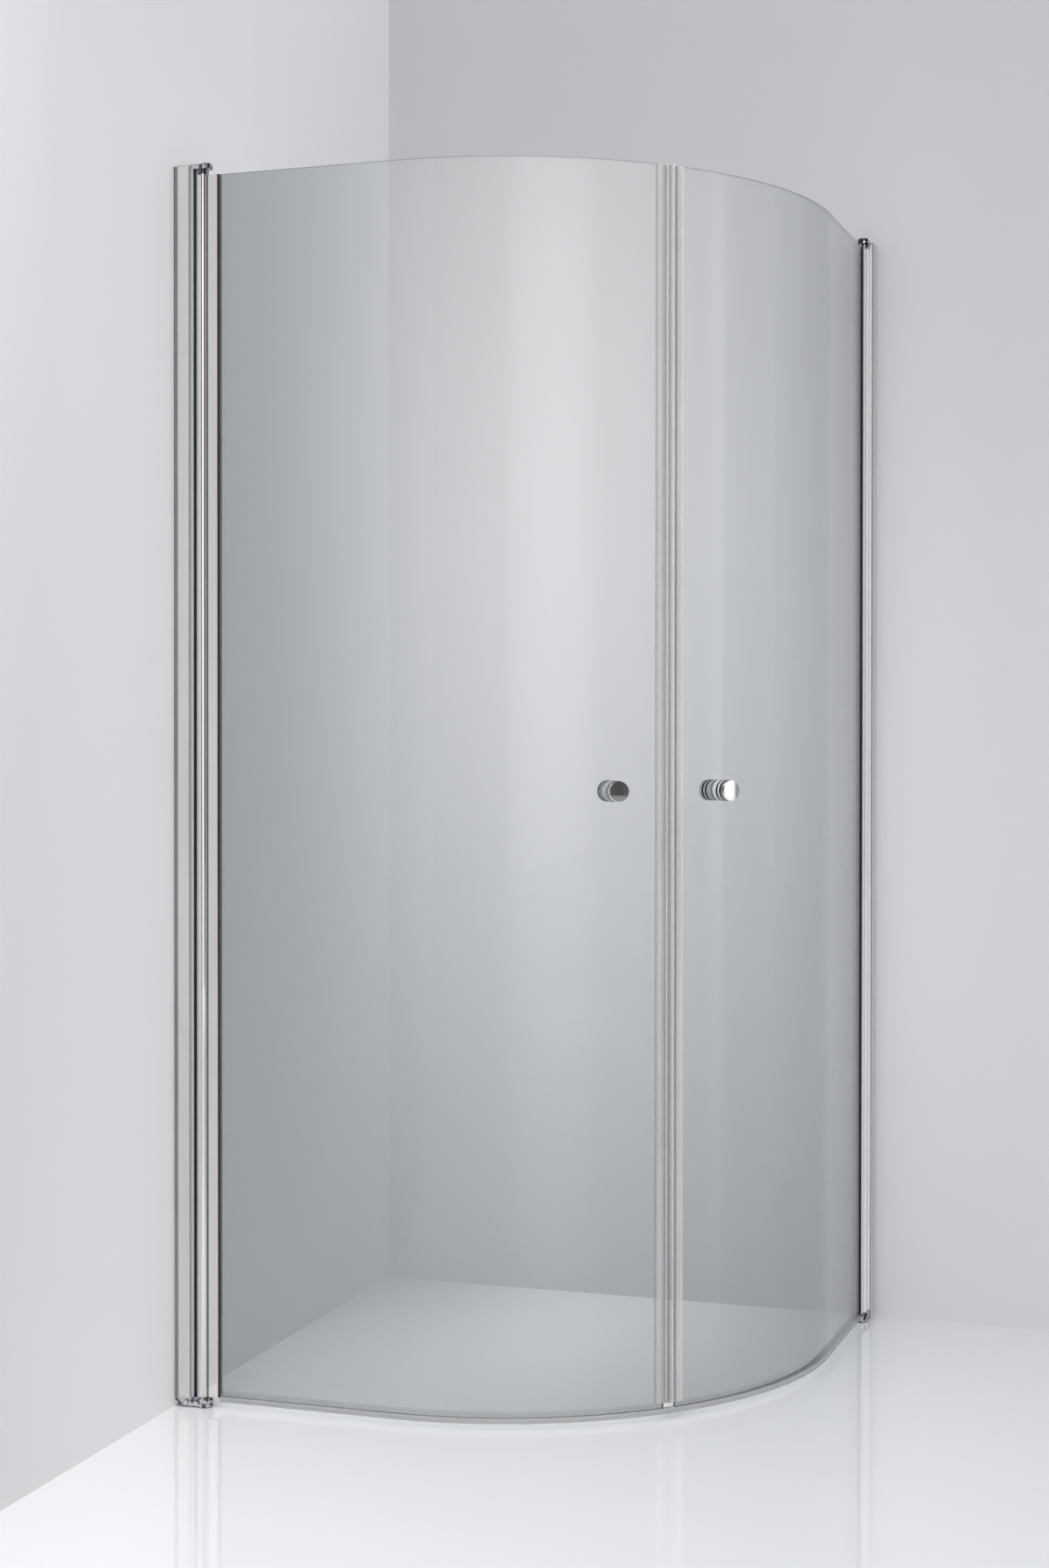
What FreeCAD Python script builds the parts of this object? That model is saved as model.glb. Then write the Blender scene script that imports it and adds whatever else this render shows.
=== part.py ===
import FreeCAD, Part
import math
import os
import Sketcher

# Quadrant shower enclosure with two curved pivot doors, millimetres, +Z up.
# The two room walls are the planes of least X and greatest Y; the doors face -Y and +X.
# The origin is on the floor in the middle of the square that the enclosure fills.
# Everything of the left half is modelled once; the right half is its mirror image
# in the upright plane through the room's corner and the seam between the doors.

os.makedirs("parts", exist_ok=True)
doc = FreeCAD.newDocument("quadrant_enclosure")

# Driving dimensions: name, value, what it measures.
TABLE = [
    ("side", 900, "wall to the outer face of the glass"),
    ("radius", 550, "outer face of the curved glass"),
    ("height", 1900, "top of the top arms and post caps"),
    ("glass", 6, "thickness of the panes"),
    ("profile_width", 30, "hinge post, front to back"),
    ("channel_depth", 23, "wall channel, out from the wall"),
    ("channel_wall", 1.6, "thickness of the wall channel"),
    ("slide_gap", 0.2, "hinge post over wall channel, each side"),
    ("post_start", 7.5, "wall to the rear edge of the hinge post"),
    ("post_front", 26.5, "wall to the front web of the hinge post"),
    ("post_wall", 1.8, "thickness of the hinge post"),
    ("profile_edge", 0.6, "bevelled corners of the extrusions and the cap"),
    ("nose_width", 20, "raised nose of the post that faces the tube"),
    ("nose_front", 30, "wall to the face of the nose"),
    ("slot_neck", 4, "mouth of the seal slot in the nose"),
    ("slot_width", 9, "seal slot behind its lips"),
    ("slot_lip", 1.3, "thickness of the slot's lips"),
    ("slot_depth", 3.2, "seal slot from the face of the nose"),
    ("seal_width", 13, "post seal across its head"),
    ("cap_thickness", 2, "post cap"),
    ("cap_plug", 12, "plug of the post cap, down into the channel"),
    ("pivot_x", 42, "wall to the pivot axis"),
    ("tube_dia", 20, "pivot tube"),
    ("tube_wall", 2.5, "thickness of the pivot tube"),
    ("running_gap", 0.3, "between pieces that turn past each other"),
    ("arm_thickness", 8, "top arm"),
    ("arm_width", 20, "top arm and bar of the bottom foot"),
    ("arm_reach", 58, "wall to the round end of the arm and foot"),
    ("arm_edge", 0.8, "bevelled edges of the arm and collar"),
    ("arm_rise", 2, "top of the arm over the post cap"),
    ("boss_rise", 1, "boss over the top arm"),
    ("boss_dia", 18, "boss at the round end of the top arm"),
    ("boss_edge", 0.7, "bevelled edge of the boss"),
    ("dimple_dia", 5, "dimple in the top of the boss"),
    ("dimple_depth", 2, "dimple in the top of the boss"),
    ("foot_thickness", 16, "bottom foot"),
    ("foot_boss", 26, "round boss of the foot, under the pivot"),
    ("foot_round", 4, "rounded edges of the foot's boss"),
    ("foot_lift", 2, "floor to the bar of the foot"),
    ("tab_start", 10, "wall to the tab inside the post"),
    ("tab_height", 50, "tab inside the post"),
    ("tab_width", 20, "tab inside the post"),
    ("pin_dia", 8, "pivot pins"),
    ("pin_length", 34, "pivot pins"),
    ("pin_seat", 6, "pivot pin's depth in its seat"),
    ("pin_fit", 0.04, "pivot pin in its bush, radial"),
    ("press_fit", 0.02, "fixed round pieces in their seats, radial"),
    ("collar_height", 9, "top collar, between tube and arm"),
    ("spigot_length", 15, "top collar inside the tube"),
    ("bush_dia", 12, "top bush"),
    ("bush_length", 24, "pivot bushes"),
    ("thrust_flange", 0.7, "flange of the bottom bush"),
    ("thrust_dia", 19, "flange of the bottom bush"),
    ("clamp_width", 12, "clamp of the hinge tube over both flanges"),
    ("clamp_end", 70, "wall to the free edge of the clamp"),
    ("clamp_depth", 16, "groove of the clamp"),
    ("gasket", 0.8, "glazing gasket beside the glass"),
    ("gasket_base", 2, "glazing gasket behind the glass"),
    ("gasket_lip", 2, "gasket lip past the clamp"),
    ("gasket_head", 2.4, "gasket lip out from the glass"),
    ("pane_bottom", 18, "floor to the lower edge of the glass"),
    ("seam_gap", 0.3, "between the two magnet seals"),
    ("seal_body", 10, "seam to the leading edge of the glass"),
    ("seal_leg", 12, "seal legs along the glass"),
    ("seal_wall", 1.2, "thickness of the seals' legs"),
    ("seal_skin", 0.6, "magnet seal over the magnet"),
    ("seal_depth", 12, "magnet seal through the glass"),
    ("seal_neck", 2, "step of the magnet seal back over the glass"),
    ("magnet_depth", 3, "magnet strip, along the glass"),
    ("magnet_width", 9, "magnet strip, through the glass"),
    ("cling", 0.05, "between curved faces that touch"),
    ("drip_start", 1, "gasket to the end of the drip seal"),
    ("drip_leg", 9, "drip seal's legs up the glass"),
    ("drip_web", 1.5, "drip seal under the glass"),
    ("drip_fin", 6, "sealing fin below the drip seal"),
    ("drip_slope", 8, "water deflector, inwards"),
    ("drip_drop", 2, "fall of the water deflector"),
    ("knob_dia", 32, "knobs"),
    ("knob_length", 26, "knob, out from the glass"),
    ("knob_base", 8, "knob from the glass to its first groove"),
    ("knob_groove", 3, "each groove, along the knob"),
    ("knob_ring", 5, "ring between the grooves, along the knob"),
    ("knob_neck", 27, "knob at the bottom of its grooves"),
    ("knob_edge", 0.8, "chamfered edges of the knob"),
    ("knob_height", 946, "floor to the knobs"),
    ("knob_inset", 92, "seam to the knobs along the glass"),
    ("pane_hole", 12, "hole through the glass for the knobs"),
    ("stud_dia", 6, "threaded stud between the knobs"),
    ("stud_grip", 12, "stud inside each knob"),
    ("wall_hole", 5.5, "wall screw holes"),
    ("wall_holes", 4, "number of wall screw holes"),
    ("wall_hole_first", 200, "floor to the first wall screw hole"),
    ("wall_hole_step", 500, "between wall screw holes"),
    ("screw_x", 17, "wall to the adjusting screws"),
    ("screw_dia", 3.5, "self-tapping screws"),
    ("screw_length", 8, "self-tapping screws under the head"),
    ("screw_head", 7, "diameter of the screw heads"),
    ("head_height", 2.2, "height of the screw heads"),
    ("screw_play", 0.05, "screw in its hole, radial"),
    ("adjusters", 3, "number of adjusting screws"),
]


# ---------------------------------------------------------------- sizes and formulas

class Size:
    """A value together with the formula that the document keeps for it."""

    def __init__(self, value, formula):
        self.value = value
        self.formula = formula

    def join(self, other, sign, result):
        return Size(result, f"({self.formula} {sign} {other.formula})")

    def __add__(self, other):
        other = as_size(other)
        return self.join(other, "+", self.value + other.value)

    def __radd__(self, other):
        return as_size(other) + self

    def __sub__(self, other):
        other = as_size(other)
        return self.join(other, "-", self.value - other.value)

    def __rsub__(self, other):
        return as_size(other) - self

    def __mul__(self, other):
        other = as_size(other)
        return self.join(other, "*", self.value * other.value)

    def __rmul__(self, other):
        return as_size(other) * self

    def __truediv__(self, other):
        other = as_size(other)
        return self.join(other, "/", self.value / other.value)

    def __neg__(self):
        return Size(-self.value, f"(-1 * {self.formula})")


def as_size(number):
    return number if isinstance(number, Size) else Size(number, str(number))


def root(size):
    return Size(math.sqrt(size.value), f"sqrt({size.formula})")


def cosine(turn):
    return Size(math.cos(math.radians(turn.value)), f"cos({turn.formula})")


def sine(turn):
    return Size(math.sin(math.radians(turn.value)), f"sin({turn.formula})")


sheet = doc.addObject("Spreadsheet::Sheet", "Sizes")
for row, (name, value, note) in enumerate(TABLE, start=1):
    sheet.set(f"A{row}", name)
    sheet.set(f"B{row}", str(value))
    sheet.setAlias(f"B{row}", name)
    sheet.set(f"C{row}", note)
doc.recompute()


class Sizes:
    """Each row of the table as a Size, by its name."""

    def __init__(self):
        for name, value, note in TABLE:
            setattr(self, name, Size(value, "Sizes." + name))


s = Sizes()
ZERO = as_size(0)

# Places that follow from the sizes. The hinge frame has its X axis out from the wall
# along the middle of the flat glass, and its origin on the floor at the wall.
half_glass = s.glass / 2
centre_line = s.side - half_glass
half_span = (centre_line + s.profile_width / 2) / 2
bend_x = s.side - s.radius
bend_radius = s.radius - half_glass
profile_bottom = s.foot_thickness
arm_top = s.height - s.boss_rise
arm_bottom = arm_top - s.arm_thickness
cap_top = arm_top - s.arm_rise
profile_top = cap_top - s.cap_thickness
door_bottom = s.foot_thickness + s.running_gap + s.thrust_flange
door_top = arm_bottom - s.running_gap - s.collar_height
half_profile = s.profile_width / 2
channel_outer = half_profile - s.post_wall - s.slide_gap
channel_inner = channel_outer - s.channel_wall
post_web = s.post_front - s.post_wall
tube_radius = s.tube_dia / 2
bore_radius = tube_radius - s.tube_wall
half_clamp = s.clamp_width / 2
groove_floor = s.clamp_end - s.clamp_depth
groove_half = half_glass + s.gasket
pane_edge = groove_floor + s.gasket_base
gasket_end = s.clamp_end + s.gasket_lip
seal_face = s.seam_gap / 2
seal_tail = s.seal_body + s.seal_leg
magnet_back = seal_face + s.seal_skin + s.magnet_depth
drip_top = s.pane_bottom + s.drip_leg
adjuster_low = s.foot_thickness + s.tab_height / 2
adjuster_high = arm_bottom - s.tab_height / 2
knob_start = half_glass + s.knob_dia * s.knob_dia / (8 * (s.radius - s.glass)) + s.cling
knob_end = half_glass + s.knob_length
DIAGONAL = math.sqrt(0.5)
SEAM_TURN = 45
knob_turn = -(SEAM_TURN + s.knob_inset / bend_radius * (180 / math.pi))


def on_bend(radius, short):
    """X and Y, in the hinge frame, of the point on the bend that lies short of the seam."""
    along = root(radius * radius - short * short)
    x = bend_x + (along - short) * DIAGONAL
    y = bend_radius - (along + short) * DIAGONAL
    return x, y


# ---------------------------------------------------------------- drawing helpers

def bind(thing, path, size):
    thing.setExpression(path, as_size(size).formula)


def place(thing, x, y, z, turn=None):
    """Put a sub-part at x, y, z of the part's frame, turned about its own Z axis."""
    bind(thing, "Placement.Base.x", x)
    bind(thing, "Placement.Base.y", y)
    bind(thing, "Placement.Base.z", z)
    if turn is not None:
        thing.Placement.Rotation = FreeCAD.Rotation(FreeCAD.Vector(0, 0, 1), as_size(turn).value)
        bind(thing, "Placement.Rotation.Angle", turn)


def place_at_hinge(thing, x=ZERO, y=ZERO, z=ZERO):
    """Put a sub-part at x, y, z of the hinge frame."""
    place(thing, x - half_span, half_span - centre_line + y, z)


def place_at_seam(thing):
    """Put a sub-part at the seam: its X axis meets the seam square on, its Y axis points inwards."""
    reach = bend_radius * DIAGONAL
    place(thing, bend_x + reach - half_span, half_span - centre_line + bend_radius - reach, ZERO,
          SEAM_TURN)


def place_at_knob(thing):
    """Put a sub-part in the middle of the glass at the knob: its X axis points out of the shower."""
    x = bend_x + bend_radius * cosine(knob_turn)
    y = bend_radius + bend_radius * sine(knob_turn)
    place(thing, x - half_span, half_span - centre_line + y, s.knob_height, knob_turn)


def new_body(label):
    body = doc.addObject("PartDesign::Body", label)
    body.Label = label
    body.AllowCompound = True
    return body


def new_sketch(body, name, plane, lift=ZERO):
    """A sketch on one of the body's own planes, lifted along the plane's normal."""
    sketch = body.newObject("Sketcher::SketchObject", body.Name + "_" + name)
    sketch.AttachmentSupport = [(own_datum(body, plane), "")]
    sketch.MapMode = "FlatFace"
    bind(sketch, "AttachmentOffset.Base.z", lift)
    return sketch


def pin(sketch, geometry, point, x=None, y=None):
    """Hold a point of the sketch at the formulas x and y, measured from the sketch's origin."""
    for kind, size in (("DistanceX", x), ("DistanceY", y)):
        if size is not None:
            rule = Sketcher.Constraint(kind, -1, 1, geometry, point, as_size(size).value)
            index = sketch.addConstraint(rule)
            sketch.setExpression(f"Constraints[{index}]", as_size(size).formula)


def circle(sketch, x, y, radius):
    where = FreeCAD.Vector(as_size(x).value, as_size(y).value, 0)
    shape = Part.Circle(where, FreeCAD.Vector(0, 0, 1), as_size(radius).value)
    geometry = sketch.addGeometry(shape, False)
    pin(sketch, geometry, 3, x, y)
    index = sketch.addConstraint(Sketcher.Constraint("Radius", geometry, as_size(radius).value))
    sketch.setExpression(f"Constraints[{index}]", as_size(radius).formula)


def arc_shape(middle, start, end, leftwards):
    """An arc about middle; leftwards arcs run anticlockwise from start to end."""
    first = math.atan2(start.y - middle.y, start.x - middle.x)
    last = math.atan2(end.y - middle.y, end.x - middle.x)
    if not leftwards:
        first, last = last, first
    ring = Part.Circle(middle, FreeCAD.Vector(0, 0, 1), (start - middle).Length)
    return Part.ArcOfCircle(ring, first, last)


def outline(sketch, steps, closed=True):
    """Lines and arcs through steps. A step is (x, y) for a straight line to that corner, or
    (x, y, middle_x, middle_y, leftwards, held) for an arc, whose end is held by "x" or "y"."""
    spots = [FreeCAD.Vector(as_size(step[0]).value, as_size(step[1]).value, 0) for step in steps]
    order = list(range(1, len(steps))) + ([0] if closed else [])
    ends = []
    for number in order:
        start, end, step = spots[number - 1], spots[number], steps[number]
        if len(step) == 2:
            geometry = sketch.addGeometry(Part.LineSegment(start, end), False)
            ends.append((geometry, 1, 2))
            continue
        middle = FreeCAD.Vector(as_size(step[2]).value, as_size(step[3]).value, 0)
        geometry = sketch.addGeometry(arc_shape(middle, start, end, step[4]), False)
        ends.append((geometry, 1, 2) if step[4] else (geometry, 2, 1))
        pin(sketch, geometry, 3, step[2], step[3])
    for before, after in zip(ends, ends[1:] + (ends[:1] if closed else [])):
        sketch.addConstraint(Sketcher.Constraint("Coincident", before[0], before[2], after[0], after[1]))
    pin(sketch, ends[0][0], ends[0][1], steps[0][0], steps[0][1])
    last = len(steps) - 1
    for (geometry, _, tip), step in zip(ends[:last], steps[1:]):
        held = step[5] if len(step) > 2 else "xy"
        pin(sketch, geometry, tip, step[0] if "x" in held else None, step[1] if "y" in held else None)


def pad(body, sketch, length, backwards=False):
    feature = body.newObject("PartDesign::Pad", sketch.Name + "_pad")
    feature.Profile = sketch
    feature.Reversed = backwards
    bind(feature, "Length", length)
    body.Tip = feature
    return feature


def volume(body):
    doc.recompute()
    return body.Shape.Volume


def pocket(body, sketch, length, backwards=False):
    """Cut the sketch into the body, and make sure that it did cut."""
    before = volume(body)
    feature = body.newObject("PartDesign::Pocket", sketch.Name + "_pocket")
    feature.Profile = sketch
    feature.Reversed = backwards
    bind(feature, "Length", length)
    body.Tip = feature
    if volume(body) >= before:
        raise RuntimeError(f"{sketch.Name} cuts nothing")
    return feature


def own_datum(body, role):
    """One of the planes or axes that belong to the body."""
    return [item for item in body.Origin.OriginFeatures if item.Role == role][0]


def repeat_upwards(body, feature, count, step):
    """Repeat a feature count times up the body's Z axis, step apart."""
    pattern = body.newObject("PartDesign::LinearPattern", feature.Name + "_row")
    pattern.Originals = [feature]
    pattern.Direction = (own_datum(body, "Z_Axis"), [""])
    bind(pattern, "Length", step * (count - 1))
    bind(pattern, "Occurrences", count)
    body.Tip = pattern


def turn_around(body, sketch, axis):
    """Revolve the sketch about its own horizontal or upright axis."""
    feature = body.newObject("PartDesign::Revolution", sketch.Name + "_turn")
    feature.Profile = sketch
    feature.ReferenceAxis = (sketch, [axis])
    feature.Angle = 360
    body.Tip = feature
    return feature


def soften(body, kind, length, wanted, size):
    """Chamfer or fillet the edges of the body whose bounding box passes the test."""
    doc.recompute()
    base = body.Tip
    names = []
    for number, edge in enumerate(base.Shape.Edges, start=1):
        if wanted(edge.BoundBox):
            names.append(f"Edge{number}")
    if not names:
        raise RuntimeError(f"{body.Name} has no such edge")
    feature = body.newObject("PartDesign::" + kind, f"{base.Name}_{kind.lower()}")
    feature.Base = (base, names)
    bind(feature, length, size)
    body.Tip = feature


def bevelled(body, wanted, size):
    soften(body, "Chamfer", "Size", wanted, size)


def rounded(body, wanted, size):
    soften(body, "Fillet", "Radius", wanted, size)


def rectangle(x_low, x_high, y_low, y_high):
    return [(x_low, y_low), (x_high, y_low), (x_high, y_high), (x_low, y_high)]


def prism(body, name, corners, low, high):
    """An upright prism of the outline between two heights."""
    sketch = new_sketch(body, name, "XY_Plane", low)
    outline(sketch, corners)
    return pad(body, sketch, high - low)


def level(box, height):
    return abs(box.ZMin - height.value) < 1e-3 and abs(box.ZMax - height.value) < 1e-3


# ---------------------------------------------------------------- fixed side

def wall_channel():
    """U-shaped channel that is screwed to the wall, open towards the room."""
    body = new_body("left_wall_channel")
    corners = [
        (ZERO, -channel_outer), (s.channel_depth, -channel_outer),
        (s.channel_depth, -channel_inner), (s.channel_wall, -channel_inner),
        (s.channel_wall, channel_inner), (s.channel_depth, channel_inner),
        (s.channel_depth, channel_outer), (ZERO, channel_outer),
    ]
    prism(body, "section", corners, profile_bottom, profile_top)
    holes = new_sketch(body, "wall_hole", "YZ_Plane")
    circle(holes, ZERO, s.wall_hole_first, s.wall_hole / 2)
    cut = pocket(body, holes, s.channel_wall, backwards=True)
    repeat_upwards(body, cut, s.wall_holes, s.wall_hole_step)
    screw_holes(body, channel_outer, s.channel_wall)
    place_at_hinge(body)
    return body


def screw_holes(body, face, depth):
    """Holes for the adjusting screws through a leg whose outer side is at face."""
    sketch = new_sketch(body, "screw_hole", "XZ_Plane", -face)
    circle(sketch, s.screw_x, adjuster_low, s.screw_dia / 2 + s.screw_play)
    cut = pocket(body, sketch, depth, backwards=True)
    repeat_upwards(body, cut, s.adjusters, adjuster_step())


def adjuster_step():
    return (adjuster_high - adjuster_low) / (s.adjusters - 1)


def hinge_post():
    """Adjusting profile over the channel, with a nose and a slot for the post seal."""
    body = new_body("left_hinge_post")
    half_nose = s.nose_width / 2
    half_neck = s.slot_neck / 2
    half_slot = s.slot_width / 2
    inner = half_profile - s.post_wall
    lip = s.nose_front - s.slot_lip
    slot_floor = s.nose_front - s.slot_depth
    edge = s.profile_edge
    corners = [
        (s.post_start, -half_profile), (s.post_front - edge, -half_profile),
        (s.post_front, edge - half_profile), (s.post_front, -half_nose),
        (s.nose_front - edge, -half_nose), (s.nose_front, edge - half_nose),
        (s.nose_front, -half_neck), (lip, -half_neck), (lip, -half_slot),
        (slot_floor, -half_slot), (slot_floor, half_slot), (lip, half_slot),
        (lip, half_neck), (s.nose_front, half_neck),
        (s.nose_front, half_nose - edge), (s.nose_front - edge, half_nose),
        (s.post_front, half_nose), (s.post_front, half_profile - edge),
        (s.post_front - edge, half_profile), (s.post_start, half_profile), (s.post_start, inner),
        (post_web, inner), (post_web, -inner), (s.post_start, -inner),
    ]
    prism(body, "section", corners, profile_bottom, profile_top)
    notch = new_sketch(body, "arm_notch", "XY_Plane", profile_top)
    notch_half = s.arm_width / 2 + s.slide_gap
    outline(notch, rectangle(post_web - s.slide_gap, s.nose_front + s.slide_gap,
                             -notch_half, notch_half))
    pocket(body, notch, profile_top - arm_bottom)
    screw_holes(body, half_profile, s.post_wall)
    place_at_hinge(body)
    return body


def post_cap():
    """Moulded cap with a plug, closing the channel and the post."""
    body = new_body("left_post_cap")
    plug_half = channel_inner - s.slide_gap
    plug_front = s.tab_start - s.slide_gap
    plug = rectangle(s.channel_wall + s.slide_gap, plug_front, -plug_half, plug_half)
    plate = rectangle(ZERO, s.post_front, -half_profile, half_profile)
    prism(body, "plate", plate, profile_top, cap_top)
    bevelled(body, lambda box: level(box, cap_top) and box.XMax > s.tab_start.value, s.profile_edge)
    prism(body, "plug", plug, profile_top - s.cap_plug, profile_top)
    place_at_hinge(body)
    return body


def post_seal():
    """Rubber strip keyed into the nose, hollowed to follow the tube."""
    body = new_body("left_post_seal")
    half_head = s.seal_width / 2
    half_neck = s.slot_neck / 2 - s.cling
    half_key = s.slot_width / 2 - s.cling
    lip = s.nose_front - s.slot_lip - s.cling
    key_floor = s.nose_front - s.slot_depth + s.cling
    reach = tube_radius + s.running_gap
    hollow_x = s.pivot_x - root(reach * reach - half_head * half_head)
    corners = [
        (s.nose_front, -half_head),
        (hollow_x, -half_head),
        (hollow_x, half_head, s.pivot_x, ZERO, False, "y"),
        (s.nose_front, half_head),
        (s.nose_front, half_neck), (lip, half_neck), (lip, half_key), (key_floor, half_key),
        (key_floor, -half_key), (lip, -half_key), (lip, -half_neck), (s.nose_front, -half_neck),
    ]
    prism(body, "section", corners, profile_bottom, arm_bottom)
    place_at_hinge(body)
    return body


def adjusting_screws():
    """Screws from the shower side that lock the post to the channel; the highest and the
    lowest also hold the tabs of the arm and the foot."""
    body = new_body("left_adjusting_screws")
    sketch = new_sketch(body, "half_section", "XY_Plane")
    shank = s.screw_dia / 2
    head = s.screw_head / 2
    outline(sketch, [
        (ZERO, -s.screw_length), (shank, -s.screw_length), (shank, ZERO), (head, ZERO),
        (head, s.head_height), (ZERO, s.head_height),
    ])
    screw = turn_around(body, sketch, "V_Axis")
    repeat_upwards(body, screw, s.adjusters, adjuster_step())
    place_at_hinge(body, s.screw_x, half_profile, adjuster_low)
    return body


def disc(body, name, x, radius, low, high):
    sketch = new_sketch(body, name, "XY_Plane", low)
    circle(sketch, x, ZERO, radius)
    pad(body, sketch, high - low)


def pin_seat(body, plane_height, depth, upwards):
    sketch = new_sketch(body, "pin_seat", "XY_Plane", plane_height)
    circle(sketch, s.pivot_x, ZERO, s.pin_dia / 2 + s.press_fit)
    pocket(body, sketch, depth, backwards=upwards)


def pilot_hole(body, height):
    """Hole in the tab for the tip of its adjusting screw."""
    sketch = new_sketch(body, "pilot_hole", "XZ_Plane", -s.tab_width / 2)
    circle(sketch, s.screw_x, height, s.screw_dia / 2 + s.screw_play)
    pocket(body, sketch, s.screw_length, backwards=True)


def top_arm():
    """Arm that carries the top pin: plate and boss outside the post, plate and tab inside it."""
    body = new_body("left_top_arm")
    half_tab = s.tab_width / 2
    outside = s.post_front + s.slide_gap / 2
    half = s.arm_width / 2
    boss_x = s.arm_reach - half
    plate = new_sketch(body, "plate", "XY_Plane", arm_bottom)
    outline(plate, [
        (boss_x, -half), (boss_x, half, boss_x, ZERO, True, "x"), (outside, half), (outside, -half),
    ])
    pad(body, plate, s.arm_thickness)
    bevelled(body, lambda box: level(box, arm_top) and box.XMax > s.nose_front.value, s.arm_edge)
    disc(body, "boss", boss_x, s.boss_dia / 2, arm_top, s.height)
    bevelled(body, lambda box: level(box, s.height), s.boss_edge)
    dimple = new_sketch(body, "dimple", "XY_Plane", s.height)
    circle(dimple, boss_x, ZERO, s.dimple_dia / 2)
    pocket(body, dimple, s.dimple_depth)
    inner_top = profile_top - s.slide_gap
    prism(body, "root", rectangle(s.tab_start, outside, -half_tab, half_tab), arm_bottom, inner_top)
    prism(body, "tab", rectangle(s.tab_start, post_web - s.slide_gap, -half_tab, half_tab),
          arm_bottom - s.tab_height, arm_bottom)
    pin_seat(body, arm_bottom, s.pin_seat, upwards=True)
    pilot_hole(body, adjuster_high)
    place_at_hinge(body)
    return body


def bottom_foot():
    """Bar under the channel and post, its tab, and the boss on the floor with the lower pin's seat."""
    body = new_body("left_bottom_foot")
    half_tab = s.tab_width / 2
    half_bar = s.arm_width / 2
    boss_radius = s.foot_boss / 2
    boss_x = s.arm_reach - boss_radius
    disc(body, "boss", boss_x, boss_radius, ZERO, s.foot_thickness)
    rounded(body, lambda box: level(box, ZERO) or level(box, s.foot_thickness), s.foot_round)
    prism(body, "bar", rectangle(ZERO, boss_x, -half_bar, half_bar), s.foot_lift, s.foot_thickness)
    prism(body, "tab", rectangle(s.tab_start, post_web - s.slide_gap, -half_tab, half_tab),
          s.foot_thickness, s.foot_thickness + s.tab_height)
    pin_seat(body, s.foot_thickness, s.pin_seat, upwards=False)
    pilot_hole(body, adjuster_low)
    place_at_hinge(body)
    return body


def pivot_pin(label, low):
    """Plain steel pin on the pivot axis."""
    rod = doc.addObject("Part::Cylinder", label)
    rod.Label = label
    bind(rod, "Radius", s.pin_dia / 2)
    bind(rod, "Height", s.pin_length)
    place_at_hinge(rod, s.pivot_x, ZERO, low)
    return rod


def top_pin():
    return pivot_pin("left_top_pin", arm_bottom + s.pin_seat - s.pin_length)


def bottom_pin():
    return pivot_pin("left_bottom_pin", s.foot_thickness - s.pin_seat)


# ---------------------------------------------------------------- door

def hinge_tube():
    """One extrusion: the pivot tube and the grooved clamp for the glass."""
    body = new_body("left_hinge_tube")
    sketch = new_sketch(body, "section", "XY_Plane", door_bottom)
    root_x = s.pivot_x + root(tube_radius * tube_radius - half_clamp * half_clamp)
    edge = s.profile_edge
    outline(sketch, [
        (root_x, half_clamp),
        (root_x, -half_clamp, s.pivot_x, ZERO, True, "y"),
        (s.clamp_end - edge, -half_clamp), (s.clamp_end, edge - half_clamp),
        (s.clamp_end, -groove_half), (groove_floor, -groove_half),
        (groove_floor, groove_half), (s.clamp_end, groove_half),
        (s.clamp_end, half_clamp - edge), (s.clamp_end - edge, half_clamp),
    ])
    circle(sketch, s.pivot_x, ZERO, bore_radius)
    pad(body, sketch, door_top - door_bottom)
    place_at_hinge(body)
    return body


def top_collar():
    """Collar that closes the tube under the top arm, with a spigot in the bore."""
    body = new_body("left_top_collar")
    sketch = new_sketch(body, "half_section", "XZ_Plane")
    inner = s.bush_dia / 2 + s.press_fit
    spigot = bore_radius - s.press_fit
    edge = s.arm_edge
    outline(sketch, [
        (inner, -s.spigot_length), (spigot, -s.spigot_length), (spigot, ZERO), (tube_radius, ZERO),
        (tube_radius, s.collar_height - edge), (tube_radius - edge, s.collar_height),
        (inner, s.collar_height),
    ])
    turn_around(body, sketch, "V_Axis")
    place_at_hinge(body, s.pivot_x, ZERO, door_top)
    return body


def top_bush():
    """Nylon sleeve in the collar, round the top pin."""
    body = new_body("left_top_bush")
    sketch = new_sketch(body, "half_section", "XZ_Plane")
    bore = s.pin_dia / 2 + s.pin_fit
    outer = s.bush_dia / 2
    outline(sketch, rectangle(bore, outer, s.collar_height - s.bush_length, s.collar_height))
    turn_around(body, sketch, "V_Axis")
    place_at_hinge(body, s.pivot_x, ZERO, door_top)
    return body


def bottom_bush():
    """Nylon bush in the lower end of the tube, with the flange that the tube stands on."""
    body = new_body("left_bottom_bush")
    sketch = new_sketch(body, "half_section", "XZ_Plane")
    bore = s.pin_dia / 2 + s.pin_fit
    outer = bore_radius - s.press_fit
    flange = s.thrust_dia / 2
    outline(sketch, [
        (bore, -s.thrust_flange), (flange, -s.thrust_flange), (flange, ZERO), (outer, ZERO),
        (outer, s.bush_length), (bore, s.bush_length),
    ])
    turn_around(body, sketch, "V_Axis")
    place_at_hinge(body, s.pivot_x, ZERO, door_bottom)
    return body


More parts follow.
